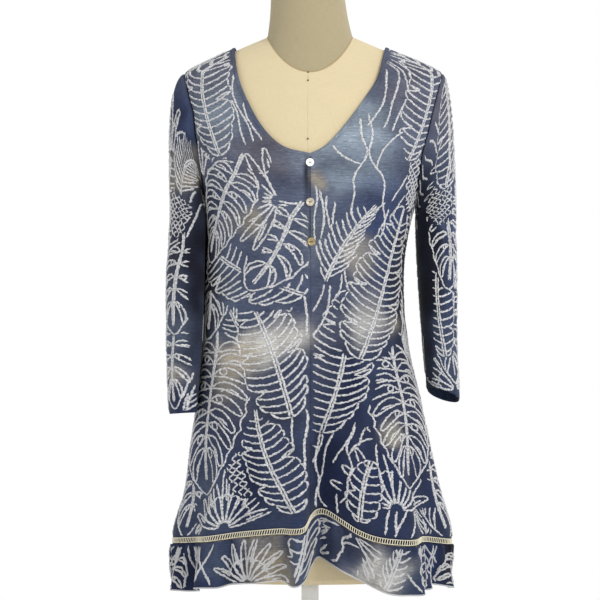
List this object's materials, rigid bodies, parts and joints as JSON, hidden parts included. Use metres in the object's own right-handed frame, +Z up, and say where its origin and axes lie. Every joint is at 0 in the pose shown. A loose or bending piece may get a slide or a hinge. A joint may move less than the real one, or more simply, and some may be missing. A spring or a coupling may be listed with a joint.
{
  "type": "tunic top on dress form",
  "caption": "Three-quarter sleeve knit tunic with buttons, ladder trim and a ruffle hem, worn by a limbless dress form on a stand.",
  "frame": {"origin": "on the floor, in the middle of the round base", "axes": "+Z up; the front of the tunic faces -Y; +X is on the right of someone who looks at the front"},
  "size_m": [0.44, 0.44, 1.4824],
  "materials": {
    "tunic_knit": "slub jersey knit, dyed in cloudy slate blue with raised leaf lines",
    "ladder_trim": "cream ladder-stitch trim",
    "shell_button": "polished shell",
    "form_linen": "smooth cream linen cover",
    "neck_cover": "grey-beige woven cover",
    "stand_paint": "white satin paint"
  },
  "bodies": {
    "root": {"front_left": "tunic_knit", "front_right": "tunic_knit", "back": "tunic_knit", "sleeve_left": "tunic_knit", "sleeve_right": "tunic_knit", "neck_band": "tunic_knit", "ruffle_front": "tunic_knit", "ruffle_back": "tunic_knit", "ladder_front": "ladder_trim", "ladder_back": "ladder_trim", "button_top": "shell_button", "button_middle": "shell_button", "button_bottom": "shell_button", "dress_form": "form_linen", "neck_cap": "form_linen", "form_neck": "neck_cover", "stand_pole": "stand_paint", "stand_base": "stand_paint"}
  },
  "joints": []
}
